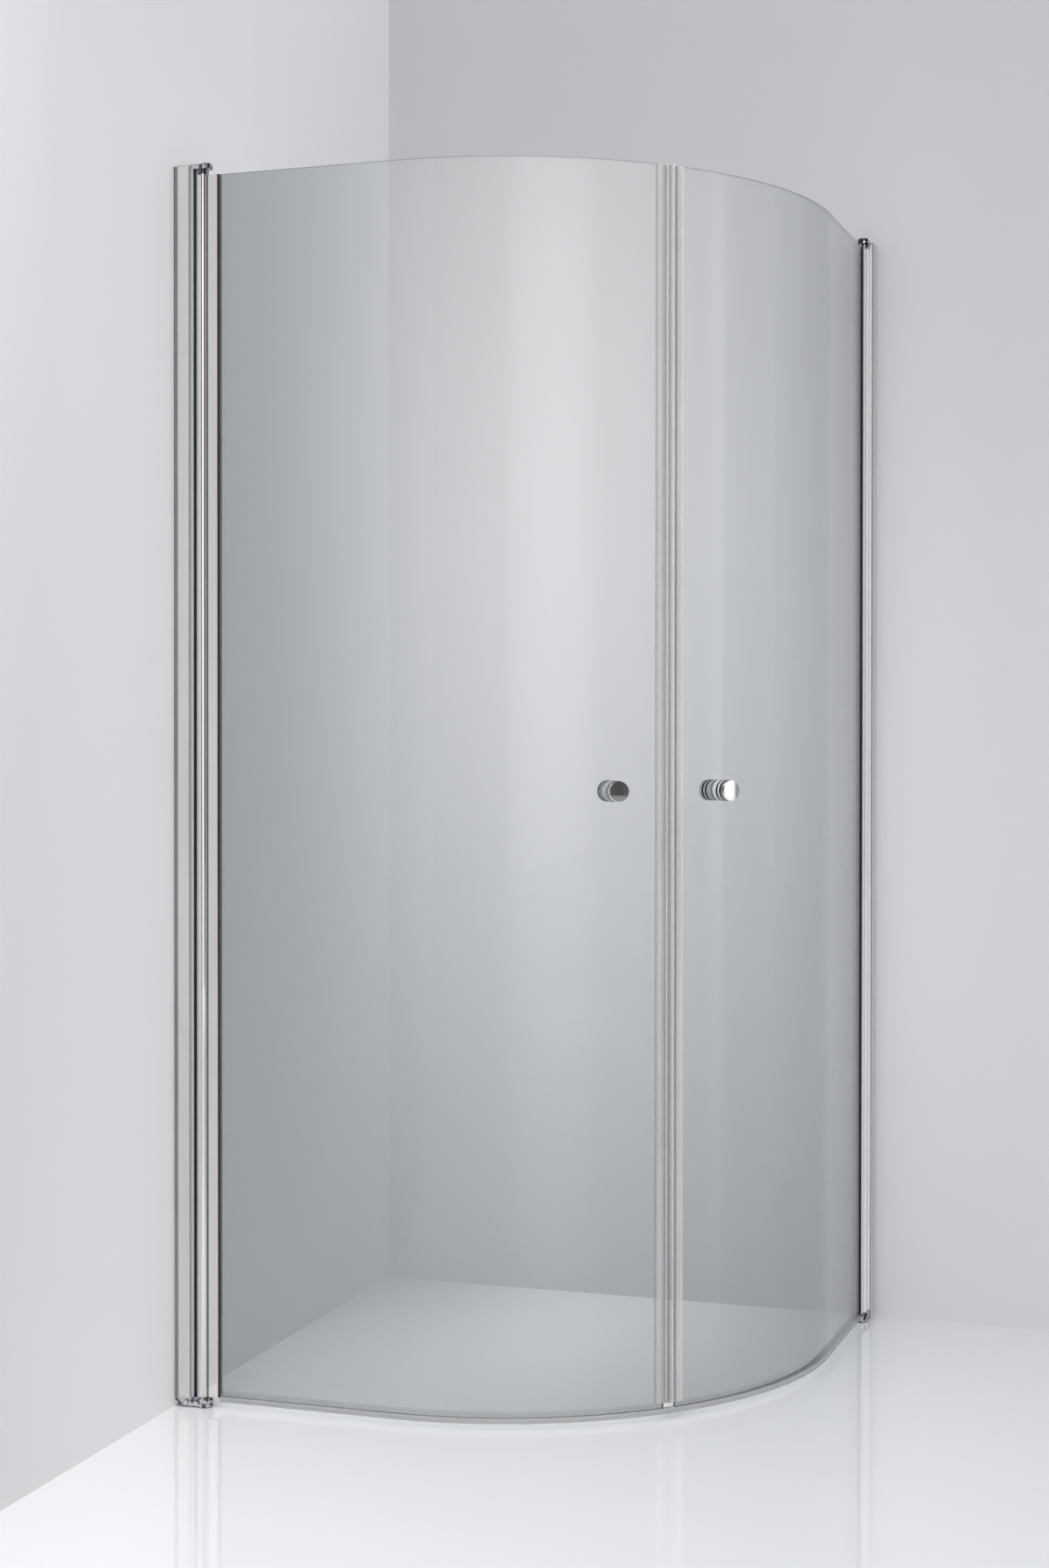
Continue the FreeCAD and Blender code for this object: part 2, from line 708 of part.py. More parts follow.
def glazing_gasket():
    """U-shaped gasket round the glass in the clamp, with lips over the clamp's edges."""
    body = new_body("left_glazing_gasket")
    lip = half_glass + s.gasket_head
    corners = [
        (groove_floor, -groove_half), (s.clamp_end, -groove_half), (s.clamp_end, -lip),
        (gasket_end, -lip), (gasket_end, -half_glass), (pane_edge, -half_glass),
        (pane_edge, half_glass), (gasket_end, half_glass), (gasket_end, lip),
        (s.clamp_end, lip), (s.clamp_end, groove_half), (groove_floor, groove_half),
    ]
    prism(body, "section", corners, door_bottom, door_top)
    place_at_hinge(body)
    return body


def door_glass():
    """Bent pane: flat from the clamp to the bend, then curved up to the seam's seal."""
    body = new_body("left_door_glass")
    sketch = new_sketch(body, "section", "XY_Plane", s.pane_bottom)
    outer_end = on_bend(s.radius, s.seal_body)
    inner_end = on_bend(s.radius - s.glass, s.seal_body)
    outline(sketch, [
        (pane_edge, -half_glass), (bend_x, -half_glass),
        (*outer_end, bend_x, bend_radius, True, "x"),
        inner_end,
        (bend_x, half_glass, bend_x, bend_radius, False, "x"),
        (pane_edge, half_glass),
    ])
    pad(body, sketch, door_top - s.pane_bottom)
    drill_knob_hole(body)
    place_at_hinge(body)
    return body


def drill_knob_hole(body):
    """Hole through the curved glass, square to it, for the stud and its sleeve."""
    drill_from = s.radius + s.glass
    sketch = new_sketch(body, "knob_hole", "YZ_Plane", bend_x + drill_from * cosine(knob_turn))
    bind(sketch, "AttachmentOffset.Base.x", bend_radius + drill_from * sine(knob_turn))
    bind(sketch, "AttachmentOffset.Base.y", s.knob_height)
    upright = FreeCAD.Vector(0, 1, 0)
    sketch.AttachmentOffset = FreeCAD.Placement(
        sketch.AttachmentOffset.Base, FreeCAD.Rotation(upright, knob_turn.value))
    bind(sketch, "AttachmentOffset.Rotation.Angle", knob_turn)
    circle(sketch, ZERO, ZERO, s.pane_hole / 2)
    pocket(body, sketch, s.glass * 3)


def magnet_seal():
    """Clear profile clipped on the leading edge, with a chamber and a pocket for the magnet."""
    body = new_body("left_magnet_seal")
    sketch = new_sketch(body, "section", "XY_Plane", drip_top)
    middle = (ZERO, bend_radius)
    half_depth = s.seal_depth / 2
    step_x = s.seal_body - s.seal_neck
    stop_x = s.seal_body - s.cling
    outside = s.radius + s.cling
    inside = s.radius - s.glass - s.cling

    def on_ring(radius, back):
        return -back, bend_radius - root(radius * radius - back * back)

    outline(sketch, [
        on_ring(outside + s.seal_wall, seal_tail),
        (*on_ring(outside + s.seal_wall, step_x), *middle, True, "x"),
        (-step_x, -half_depth), (-seal_face, -half_depth),
        (-seal_face, half_depth), (-step_x, half_depth),
        on_ring(inside - s.seal_wall, step_x),
        (*on_ring(inside - s.seal_wall, seal_tail), *middle, False, "x"),
        on_ring(inside, seal_tail),
        (*on_ring(inside, stop_x), *middle, True, "x"),
        on_ring(outside, stop_x),
        (*on_ring(outside, seal_tail), *middle, False, "x"),
    ])
    outline(sketch, magnet_corners())
    chamber_half = half_depth - s.seal_skin
    outline(sketch, rectangle(s.seal_skin - step_x, -magnet_back - s.seal_skin,
                              -chamber_half, chamber_half))
    pad(body, sketch, door_top - drip_top)
    place_at_seam(body)
    return body


def magnet_corners():
    half = s.magnet_width / 2
    return rectangle(-magnet_back, -seal_face - s.seal_skin, -half, half)


def magnet_strip():
    """Magnet strip in the pocket of its seal."""
    body = new_body("left_magnet_strip")
    prism(body, "section", magnet_corners(), drip_top, door_top)
    place_at_seam(body)
    return body


def drip_seal():
    """Clear profile under the glass, swept along the flat and the bend."""
    body = new_body("left_drip_seal")
    start = gasket_end + s.drip_start
    path = new_sketch(body, "path", "XY_Plane", s.pane_bottom)
    outline(path, [
        (start, ZERO), (bend_x, ZERO),
        (*on_bend(bend_radius, seal_face), bend_x, bend_radius, True, "x"),
    ], closed=False)
    section = new_sketch(body, "section", "YZ_Plane", start)
    bind(section, "AttachmentOffset.Base.y", s.pane_bottom)
    grip = half_glass + s.cling
    outer = grip + s.seal_wall
    tip = outer + s.drip_slope
    fall = s.drip_web + s.drip_drop
    outline(section, [
        (-outer, s.drip_leg), (-outer, -s.drip_web - s.drip_fin), (-grip, -s.drip_web - s.drip_fin),
        (-grip, -s.drip_web), (grip, -s.drip_web), (tip, -fall), (tip, s.seal_wall - fall),
        (outer, ZERO), (outer, s.drip_leg), (grip, s.drip_leg), (grip, ZERO), (-grip, ZERO),
        (-grip, s.drip_leg),
    ])
    sweep = body.newObject("PartDesign::AdditivePipe", "left_drip_seal_sweep")
    sweep.Profile = section
    sweep.Spine = (path, [])
    sweep.Mode = "Standard"
    body.Tip = sweep
    place_at_hinge(body)
    return body


def knob(label, side):
    """Grooved knob with a blind bore for the stud; side is 1 outside, -1 inside the shower."""
    body = new_body(label)
    sketch = new_sketch(body, "half_section", "XY_Plane")
    rim = s.knob_dia / 2
    edge = s.knob_edge
    bore = s.stud_dia / 2 + s.press_fit
    neck = s.knob_neck / 2
    base_end = half_glass + s.knob_base
    ring_start = base_end + s.knob_groove
    ring_end = ring_start + s.knob_ring
    head_start = ring_end + s.knob_groove
    bore_end = knob_start + s.stud_grip + s.running_gap
    profile = [
        (knob_start, bore), (knob_start, rim), (base_end, rim), (base_end, neck),
        (ring_start, neck), (ring_start, rim), (ring_end, rim), (ring_end, neck),
        (head_start, neck), (head_start, rim), (knob_end - edge, rim),
        (knob_end, rim - edge), (knob_end, ZERO), (bore_end, ZERO), (bore_end, bore),
    ]
    outline(sketch, [(x * side, radius) for x, radius in profile])
    turn_around(body, sketch, "H_Axis")
    place_at_knob(body)
    return body


def outer_knob():
    return knob("left_outer_knob", 1)


def inner_knob():
    return knob("left_inner_knob", -1)


def knob_stud():
    """Threaded stud through the glass, screwed into both knobs."""
    body = new_body("left_knob_stud")
    sketch = new_sketch(body, "section", "YZ_Plane", -knob_start - s.stud_grip)
    circle(sketch, ZERO, ZERO, s.stud_dia / 2)
    pad(body, sketch, (knob_start + s.stud_grip) * 2)
    place_at_knob(body)
    return body


def knob_sleeve():
    """Nylon sleeve that keeps the stud off the glass."""
    body = new_body("left_knob_sleeve")
    sketch = new_sketch(body, "section", "YZ_Plane", -half_glass)
    circle(sketch, ZERO, ZERO, s.pane_hole / 2 - s.screw_play)
    circle(sketch, ZERO, ZERO, s.stud_dia / 2 + s.screw_play)
    pad(body, sketch, s.glass)
    place_at_knob(body)
    return body


# ---------------------------------------------------------------- assembly

def right_twin(left):
    """Mirror image of a left piece, about the upright plane through the corner and the seam."""
    label = left.Label.replace("left_", "right_")
    twin = doc.addObject("Part::Mirroring", label)
    twin.Label = label
    twin.Source = left
    twin.Base = FreeCAD.Vector(0, 0, 0)
    twin.Normal = FreeCAD.Vector(1, 1, 0)
    return twin


def check_document(pieces):
    """Stop if any object failed or any piece is not a sound solid."""
    for thing in doc.Objects:
        if "Invalid" in thing.State or "Error" in thing.State:
            raise RuntimeError(f"{thing.Name} failed: {thing.State}")
    for piece in pieces:
        if piece.Shape.isNull() or not piece.Shape.isValid() or piece.Shape.Volume <= 0:
            raise RuntimeError(f"{piece.Label} is not a sound solid")


def build():
    makers = (
        wall_channel, hinge_post, post_cap, post_seal, adjusting_screws, top_arm, top_pin,
        bottom_foot, bottom_pin, hinge_tube, top_collar, top_bush, bottom_bush, glazing_gasket,
        door_glass, magnet_seal, magnet_strip, drip_seal, outer_knob, inner_knob, knob_stud,
        knob_sleeve,
    )
    left_half = [maker() for maker in makers]
    doc.recompute()
    pieces = left_half + [right_twin(piece) for piece in left_half]
    doc.recompute()
    check_document(pieces)
    for piece in pieces:
        piece.Shape.exportStep(f"parts/{piece.Label}.step")
        box = piece.Shape.BoundBox
        print(f"{piece.Label}: {len(piece.Shape.Solids)} solid, {piece.Shape.Volume:.0f} mm3, "
              f"x {box.XMin:.1f} {box.XMax:.1f}, y {box.YMin:.1f} {box.YMax:.1f}, "
              f"z {box.ZMin:.1f} {box.ZMax:.1f}")


build()
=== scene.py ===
"""Looks, room and camera of the quadrant shower enclosure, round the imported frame.

Metres, +Z up, in the frame of the solids: the room's corner is at least X and greatest Y,
and the doors face -Y and +X.
"""

import math

import bpy
from mathutils import Matrix, Vector


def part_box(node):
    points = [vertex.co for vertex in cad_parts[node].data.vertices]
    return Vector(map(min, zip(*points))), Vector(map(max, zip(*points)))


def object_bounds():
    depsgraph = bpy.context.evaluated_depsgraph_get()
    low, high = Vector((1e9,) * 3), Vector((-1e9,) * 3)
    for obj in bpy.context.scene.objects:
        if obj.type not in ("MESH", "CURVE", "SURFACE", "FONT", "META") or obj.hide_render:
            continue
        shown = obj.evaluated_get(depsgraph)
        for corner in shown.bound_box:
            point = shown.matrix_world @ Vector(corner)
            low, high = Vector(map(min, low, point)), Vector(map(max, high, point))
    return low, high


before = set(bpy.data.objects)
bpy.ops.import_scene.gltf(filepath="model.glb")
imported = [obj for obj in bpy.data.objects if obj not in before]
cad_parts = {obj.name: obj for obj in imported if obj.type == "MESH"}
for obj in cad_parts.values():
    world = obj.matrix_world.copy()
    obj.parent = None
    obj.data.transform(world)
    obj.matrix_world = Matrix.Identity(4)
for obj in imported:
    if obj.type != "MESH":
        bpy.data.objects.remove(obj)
solid_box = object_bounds()

# ---------------------------------------------------------------- zones of the finishes

# Distance from the plane where the doors meet.
SEAL_STEP = (0.008, 0.0104)
GLASS_SEAM_EDGE = 0.0103
# Distance from the wall that a side stands on.
POST_SHOULDER = 0.0263
NOSE_FACE = 0.0297
# Band of painted shade at the clamp's root.
CLAMP_ROOT_SHADE_ZONE = (0.0510, 0.0545)
# Distance out from the middle of a side's flat glass. The first band is a painted shadow line on the
# posts' shoulders.
SHOULDER_SHADOW_LINE = (0.0126, 0.0142)
HALF_GLASS = 0.003
# Distance from the middle of the glass along a knob.
KNOB_GROOVES = ((0.011, 0.014), (0.019, 0.022))
GROOVE_MARGIN = 0.0004
# Height above the floor.
DRIP_LEGS = 0.017
MID_HEIGHT = 1.0

SEAM_OUTWARDS = Vector((1, -1, 0)).normalized()
UP = Vector((0, 0, 1))
SIDE_OUTWARDS = {"left_": Vector((0, -1, 0)), "right_": Vector((1, 0, 0))}
SIDE_FROM_WALL = {"left_": Vector((1, 0, 0)), "right_": Vector((0, -1, 0))}

# Grains of the finishes: cells of noise per metre along each axis.
EXTRUSION_LINES = (900, 900, 2.5)
EXTRUSION_CLOUDS = (14, 14, 3)
CAST_WAVES = (150, 150, 150)
PLATING_MARKS = (420, 420, 420)
PLATING_CLOUDS = (60, 60, 60)
RUBBER_GRAIN = (2600, 2600, 500)
RUBBER_DUST = (30, 30, 4)
MAGNET_GRAIN = (1500, 1500, 40)
MOULDED_GRAIN = (1800, 1800, 1800)
MOULDED_CLOUDS = (90, 90, 90)
SEAL_LINES = (700, 700, 3)
SEAL_CLOUDS = (40, 40, 6)
GLASS_CLOUDS = (60, 60, 60)
WALL_GRAIN = (90, 90, 90)
FLOOR_CLOUDS = (9, 9, 9)

# Heights of the bumps.
LINES_BUMP = 0.000008
SEAL_BUMP = 0.00001
MARKS_BUMP = 0.000002
MOULDED_BUMP = 0.00002
RUBBER_BUMP = 0.00003
WALL_BUMP = 0.0001
CAST_BUMP = 0.0016
# Radius of the sphere that the face of a knob seems to be a part of.
KNOB_CROWN_RADIUS = 0.35

# Indices of refraction. A face of the glass tints what is seen through it, and lamp light less.
GLASS_IOR = 1.5
SOFT_PLASTIC_IOR = 1.46
GLASS_FACE_TINT = (0.712, 0.728, 0.738)
LAMP_TINT = (0.93, 0.94, 0.945)
FACES_OF_A_PANE = 2
# How opaque the cut top edge of the glass is.
TOP_EDGE_COVER = 0.3
# How opaque one surface of the clear seal is, and what its legs and the painted shade at its step add.
SEAL_COVER = 0.20
SEAL_LEG_COVER = 0.12
SEAL_STEP_SHADE_COVER = 0.42
# The same for the drip seal, below the glass and on its legs.
DRIP_COVER = 0.62
DRIP_LEG_COVER = 0.05

# Painted shade in the hollow between tube and clamp.
CLAMP_ROOT_SHADE_COLOUR = (0.17, 0.18, 0.21)

# ---------------------------------------------------------------- room, light and camera

LEFT_WALL_NEAR = (-0.3912, -3.4)
ROOM_CORNER = (-0.4766, 0.4622)
BACK_WALL_END = (1.3, 0.4505)
WALL_TOP = 3.2
FLOOR_REACH = 14
TIGHT_GAP = 0.004

# Light patches on the walls and the floor, which only show through a pane.
WALL_GLOW = {"place": (-0.125, 0.732, 1.548), "reach": (0.385, 0.479, 0.984), "strength": 1.0}
FLOOR_GLOW = {"place": (-0.03, 0.30, 0.0), "reach": (0.27, 0.60, 1.0), "strength": 0.45}
GLOW_COLOUR = (1.0, 0.945, 0.91)
# Painted light: a paler patch of the back wall beside the shower.
WALL_PAINTED_LIGHT = {"place": (0.52, 0.45, 0.95), "reach": (0.09, 9.0, 0.6)}
WALL_PAINTED_LIGHT_COLOUR = (0.785, 0.785, 0.80)

AMBIENT = 0.82
STUDIO_COLOUR = (0.98, 0.985, 1.0)
# What shiny surfaces see round the object, at eye height: turn from the front towards the
# right in degrees, and brightness. The bright parts are soft boxes.
SIDES = (
    (-180, 0.45), (-30, 0.50), (-6, 0.42), (4, 0.16), (17, 0.18), (21, 1.3), (33, 1.7), (44, 1.3),
    (49, 0.10), (54, 0.07), (64, 0.15), (78, 0.06), (88, 0.08), (92, 1.3), (96.5, 1.3), (98.5, 0.30),
    (104, 0.30), (112, 0.45), (122, 0.95), (138, 0.45), (180, 0.45),
)
# The same by the sine of the height above the horizon: share of the sides, and the ceiling.
SIDES_FADE = ((-1, 1), (0.2, 1), (0.34, 0), (1, 0))
CEILING = (
    (-1, 0), (0.2, 0), (0.34, 0.05), (0.55, 0.05), (0.62, 1.5), (0.8, 1.5), (0.88, 0.25), (1, 0.25),
)

# The camera stands where the photograph was taken from.
PHOTO_WIDTH = 1200
PHOTO_HEIGHT = 1793
FOCAL_PX = 2704.5
CENTRE_PX = (615.98, 873.79)
CAMERA_PLACE = (1.22343, -3.70645, 1.02059)
CAMERA_YAW = 18.5503
CAMERA_PITCH = -0.5613
CAMERA_ROLL = 0.049
SENSOR = 36
CLIP_END = 100


# ---------------------------------------------------------------- node helpers

class Nodes:
    """Adds nodes to a node tree."""

    def __init__(self, tree):
        self.tree = tree

    def node(self, kind, **settings):
        made = self.tree.nodes.new("ShaderNode" + kind)
        for key, value in settings.items():
            setattr(made, key, value)
        return made

    def link(self, source, target):
        self.tree.links.new(source, target)

    def math(self, operation, *values):
        made = self.node("Math", operation=operation)
        for socket, value in zip(made.inputs, values):
            if isinstance(value, (int, float)):
                socket.default_value = value
            else:
                self.link(value, socket)
        return made.outputs[0]

    def curve(self, value, points):
        """Brightness along the points, which are pairs of value and brightness."""
        start = points[0][0]
        span = points[-1][0] - start
        brightest = max(brightness for _, brightness in points)
        made = self.node("FloatCurve")
        line = made.mapping.curves[0]
        while len(line.points) < len(points):
            line.points.new(0.5, 0.5)
        for point, (where, brightness) in zip(line.points, points):
            point.location = ((where - start) / span, brightness / brightest)
            point.handle_type = "VECTOR"
        made.mapping.update()
        self.link(self.math("MULTIPLY_ADD", value, 1 / span, -start / span), made.inputs["Value"])
        return self.math("MULTIPLY", made.outputs["Value"], brightest)


class Surface(Nodes):
    """A procedural material: one Principled shader and the nodes that feed it."""

    def __init__(self, name, **values):
        self.material = bpy.data.materials.new(name)
        self.material.use_nodes = True
        super().__init__(self.material.node_tree)
        self.shader = self.tree.nodes["Principled BSDF"]
        self.output = self.tree.nodes["Material Output"]
        for key, value in values.items():
            self.shader.inputs[key.replace("_", " ")].default_value = value

    def spot(self):
        """Where a point of the object is while the doors are shut."""
        return self.node("TexCoord").outputs["Object"]

    def spot_in_room(self):
        return self.node("NewGeometry").outputs["Position"]

    def along(self, vector, direction):
        """Length of a vector along a direction."""
        product = self.node("VectorMath", operation="DOT_PRODUCT")
        self.link(vector, product.inputs[0])
        product.inputs[1].default_value = direction
        return product.outputs["Value"]

    def length(self, vector):
        made = self.node("VectorMath", operation="LENGTH")
        self.link(vector, made.inputs[0])
        return made.outputs["Value"]

    def from_wall(self, side):
        """Distance from the wall that the side stands on."""
        low, high = solid_box
        wall = low[0] if side == "left_" else -high[1]
        return self.math("SUBTRACT", self.along(self.spot(), SIDE_FROM_WALL[side]), wall)

    def outwards(self, side):
        """Distance out from the middle of the side's flat glass."""
        direction = SIDE_OUTWARDS[side]
        glass = middle_of(side + "glazing_gasket").dot(direction)
        return self.math("SUBTRACT", self.along(self.spot(), direction), glass)

    def from_seam(self):
        """Distance from the plane where the doors meet. The step of the seals lies on a limit of
        their zones, so a formula that rounds differently can put it in the other zone."""
        axes = self.node("SeparateXYZ")
        self.link(self.spot(), axes.inputs["Vector"])
        diagonal = self.math("ABSOLUTE", self.math("ADD", axes.outputs["X"], axes.outputs["Y"]))
        return self.math("DIVIDE", diagonal, math.sqrt(2))

    def between(self, value, low, high):
        """1 where low < value < high."""
        above = self.math("GREATER_THAN", value, low)
        below = self.math("LESS_THAN", value, high)
        return self.math("MULTIPLY", above, below)

    def noise(self, scale, detail=3.0, roughness=0.55):
        """Noise over the object whose cells are 1/scale metres along each axis."""
        cells = self.node("Mapping")
        cells.inputs["Scale"].default_value = scale
        self.link(self.spot(), cells.inputs["Vector"])
        texture = self.node("TexNoise")
        texture.inputs["Scale"].default_value = 1
        texture.inputs["Detail"].default_value = detail
        texture.inputs["Roughness"].default_value = roughness
        self.link(cells.outputs["Vector"], texture.inputs["Vector"])
        return texture.outputs["Fac"]

    def spread(self, factor, low, high, start=0.3, end=0.7):
        """Map the factor's start to end onto low to high."""
        ranged = self.node("MapRange")
        ranged.inputs["From Min"].default_value = start
        ranged.inputs["From Max"].default_value = end
        ranged.inputs["To Min"].default_value = low
        ranged.inputs["To Max"].default_value = high
        self.link(factor, ranged.inputs["Value"])
        return ranged.outputs["Result"]

    def choose(self, factor, low, high):
        """Low where the factor is 0, and high where it is 1."""
        return self.spread(factor, low, high, 0, 1)

    def blend(self, factor, first, second):
        """Colour between first and second by factor."""
        mix = self.node("Mix", data_type="RGBA")
        self.link(factor, mix.inputs["Factor"])
        for socket, colour in ((mix.inputs[6], first), (mix.inputs[7], second)):
            if isinstance(colour, tuple):
                socket.default_value = (*colour, 1)
            else:
                self.link(colour, socket)
        return mix.outputs[2]

    def clouded(self, scale, light, dark, detail=3.0):
        """Colour that drifts between light and dark."""
        return self.blend(self.spread(self.noise(scale, detail), 0, 1), light, dark)

    def colour(self, source):
        self.link(source, self.shader.inputs["Base Color"])

    def roughness(self, factor, smooth, rough):
        self.link(self.spread(factor, smooth, rough), self.shader.inputs["Roughness"])

    def bump(self, height, distance, strength=1.0):
        made = self.node("Bump")
        made.inputs["Strength"].default_value = strength
        made.inputs["Distance"].default_value = distance
        self.link(height, made.inputs["Height"])
        self.link(made.outputs["Normal"], self.shader.inputs["Normal"])

    def patch(self, place, reach):
        """1 at a place in the room, fading out over the reach along each axis."""
        stretch = self.node("Mapping")
        stretch.inputs["Location"].default_value = [-where / far for where, far in zip(place, reach)]
        stretch.inputs["Scale"].default_value = [1 / far for far in reach]
        self.link(self.spot_in_room(), stretch.inputs["Vector"])
        squared = self.math("POWER", self.length(stretch.outputs["Vector"]), 2)
        return self.math("EXPONENT", self.math("MULTIPLY", squared, -0.5))

    def glow_behind_glass(self, place, reach, strength):
        """Broad patch of light about a place in the room, only where a pane is in front."""
        path = self.node("LightPath")
        behind = self.math("GREATER_THAN", path.outputs["Transparent Depth"], FACES_OF_A_PANE - 0.5)
        seen = self.math("MULTIPLY", behind, path.outputs["Is Camera Ray"])
        bright = self.math("MULTIPLY", self.math("MULTIPLY", self.patch(place, reach), seen), strength)
        self.shader.inputs["Emission Color"].default_value = (*GLOW_COLOUR, 1)
        self.link(bright, self.shader.inputs["Emission Strength"])

    def transparent(self, tint=(1, 1, 1)):
        clear = self.node("BsdfTransparent")
        clear.inputs["Color"].default_value = (*tint, 1)
        return clear.outputs["BSDF"]

    def mix_shaders(self, factor, first, second):
        mix = self.node("MixShader")
        self.link(factor, mix.inputs["Fac"])
        self.link(first, mix.inputs[1])
        self.link(second, mix.inputs[2])
        return mix.outputs["Shader"]

    def let_lamps_through(self, shader):
        """Lamp and bounce light pass the surface straight, slightly tinted."""
        path = self.node("LightPath")
        lit = self.math("MAXIMUM", path.outputs["Is Shadow Ray"], path.outputs["Is Diffuse Ray"])
        whole = self.mix_shaders(lit, shader, self.transparent(LAMP_TINT))
        self.link(whole, self.output.inputs["Surface"])


def middle_of(node):
    low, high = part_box(node)
    return (Vector(low) + Vector(high)) / 2


# ---------------------------------------------------------------- materials of the object

def extrusion_surface(name, smooth, rough, metallic):
    """Fine lines along an extrusion, without a colour."""
    surface = Surface(name, Metallic=metallic)
    lines = surface.noise(EXTRUSION_LINES, detail=2.0)
    surface.roughness(lines, smooth, rough)
    surface.bump(lines, LINES_BUMP)
    return surface


def extruded_metal(name, light, dark, smooth, rough, metallic):
    """Extrusion with slow clouds in its finish."""
    surface = extrusion_surface(name, smooth, rough, metallic)
    surface.colour(surface.clouded(EXTRUSION_CLOUDS, light, dark, detail=4.0))
    return surface.material


def clamp_metal(name, side, light, dark, smooth, rough, metallic):
    """Extrusion of tube and clamp, with painted shade in the hollow between the two."""
    surface = extrusion_surface(name, smooth, rough, metallic)
    metal = surface.clouded(EXTRUSION_CLOUDS, light, dark, detail=4.0)
    # Painted shade: the hollow at the clamp's root is darkened.
    hollow = surface.between(surface.from_wall(side), *CLAMP_ROOT_SHADE_ZONE)
    surface.colour(surface.blend(hollow, metal, CLAMP_ROOT_SHADE_COLOUR))
    return surface.material


def post_metal(name, side, light, dark, flank_shading, nose_highlight, line):
    """Polished face and, past its shoulder, satin flanks and tip in painted light and shade, with a
    painted shadow line on them.
    """
    surface = Surface(name)
    polished = surface.math("LESS_THAN", surface.from_wall(side), POST_SHOULDER)
    # The pale bluish colour past NOSE_FACE is a painted highlight.
    on_nose = surface.math("GREATER_THAN", surface.from_wall(side), NOSE_FACE)
    # The flanks' colour is painted shade on the left side and painted light on the right side, and the
    # thin dark band on the shoulder is a painted shadow line.
    on_shadow_line = surface.between(surface.outwards(side), *SHOULDER_SHADOW_LINE)
    satin = surface.blend(on_shadow_line, surface.blend(on_nose, flank_shading, nose_highlight), line)
    face = surface.clouded(EXTRUSION_CLOUDS, light, dark, detail=4.0)
    surface.colour(surface.blend(polished, satin, face))
    surface.link(surface.choose(polished, 0.3, 1.0), surface.shader.inputs["Metallic"])
    surface.link(surface.choose(polished, 0.35, 0.05), surface.shader.inputs["Roughness"])
    surface.bump(surface.noise(EXTRUSION_LINES, detail=2.0), LINES_BUMP)
    return surface.material


def cast_chrome(name, light, dark):
    """Plated casting: its soft ripples break up what it reflects, and they also paint light and dark
    patches into its colour as painted reflection.
    """
    surface = Surface(name, Metallic=1.0)
    ripples_and_painted_reflection = surface.noise(CAST_WAVES, detail=2.0, roughness=0.4)
    # Painted reflection: the colour runs from light to near black with the ripples.
    surface.colour(surface.blend(surface.spread(ripples_and_painted_reflection, 0, 1, 0.44, 0.56), light, dark))
    surface.roughness(surface.noise(PLATING_MARKS, detail=4.0), smooth=0.02, rough=0.07)
    surface.bump(ripples_and_painted_reflection, CAST_BUMP)
    return surface.material


def knob_chrome(name, side, light, dark, groove_shade):
    """Turned knob with a slightly crowned face and grooves painted dark as shade, and duller below its
    head.
    """
    outer = middle_of(side + "outer_knob")
    inner = middle_of(side + "inner_knob")
    surface = Surface(name)
    offset = surface.node("VectorMath", operation="SUBTRACT")
    surface.link(surface.spot(), offset.inputs[0])
    offset.inputs[1].default_value = (outer + inner) / 2
    place = offset.outputs["Vector"]
    from_glass = surface.math("ABSOLUTE", surface.along(place, (outer - inner).normalized()))
    grooves = [
        surface.between(from_glass, start - GROOVE_MARGIN, end + GROOVE_MARGIN)
        for start, end in KNOB_GROOVES
    ]
    in_groove = surface.math("MAXIMUM", *grooves)
    # Painted shade: near-black colour in the grooves.
    surface.colour(surface.blend(in_groove, surface.clouded(PLATING_CLOUDS, light, dark), groove_shade))
    on_head = surface.math("GREATER_THAN", from_glass, KNOB_GROOVES[-1][1])
    surface.link(surface.choose(on_head, 0.30, 1.0), surface.shader.inputs["Metallic"])
    marks = surface.noise(PLATING_MARKS, detail=6.0, roughness=0.7)
    plating_roughness = surface.spread(marks, 0.02, 0.07)
    groove_roughness = surface.math("MULTIPLY", in_groove, 0.6)
    rougher = surface.math("MAXIMUM", plating_roughness, groove_roughness)
    surface.link(rougher, surface.shader.inputs["Roughness"])
    squared = surface.math("POWER", surface.length(place), 2)
    crown = surface.math("MULTIPLY", squared, -0.5 / KNOB_CROWN_RADIUS)
    surface.bump(surface.math("MULTIPLY_ADD", marks, MARKS_BUMP, crown), 1.0)
    return surface.material


def turned_chrome(name, light, dark):
    """Bright plating over a turned piece, with fine handling marks."""
    surface = Surface(name, Metallic=1.0)
    marks = surface.noise(PLATING_MARKS, detail=6.0, roughness=0.7)
    surface.colour(surface.clouded(PLATING_CLOUDS, light, dark))
    surface.roughness(marks, smooth=0.015, rough=0.06)
    surface.bump(marks, MARKS_BUMP)
    return surface.material


def moulded(name, light, dark):
    """Moulded plastic with a fine grain."""
    surface = Surface(name)
    grain = surface.noise(MOULDED_GRAIN)
    surface.colour(surface.clouded(MOULDED_CLOUDS, light, dark))
    surface.roughness(grain, smooth=0.35, rough=0.55)
    surface.bump(grain, MOULDED_BUMP)
    return surface.material


def rubber_surface(name):
    """Grain of soft rubber, without a colour."""
    surface = Surface(name, Specular_IOR_Level=0.35)
    grain = surface.noise(RUBBER_GRAIN, detail=4.0)
    surface.roughness(grain, smooth=0.45, rough=0.75)
    surface.bump(grain, RUBBER_BUMP)
    return surface


def rubber(name, light, dark):
    """Rubber with a little dust."""
    surface = rubber_surface(name)
    surface.colour(surface.clouded(RUBBER_DUST, dark, light, detail=5.0))
    return surface.material


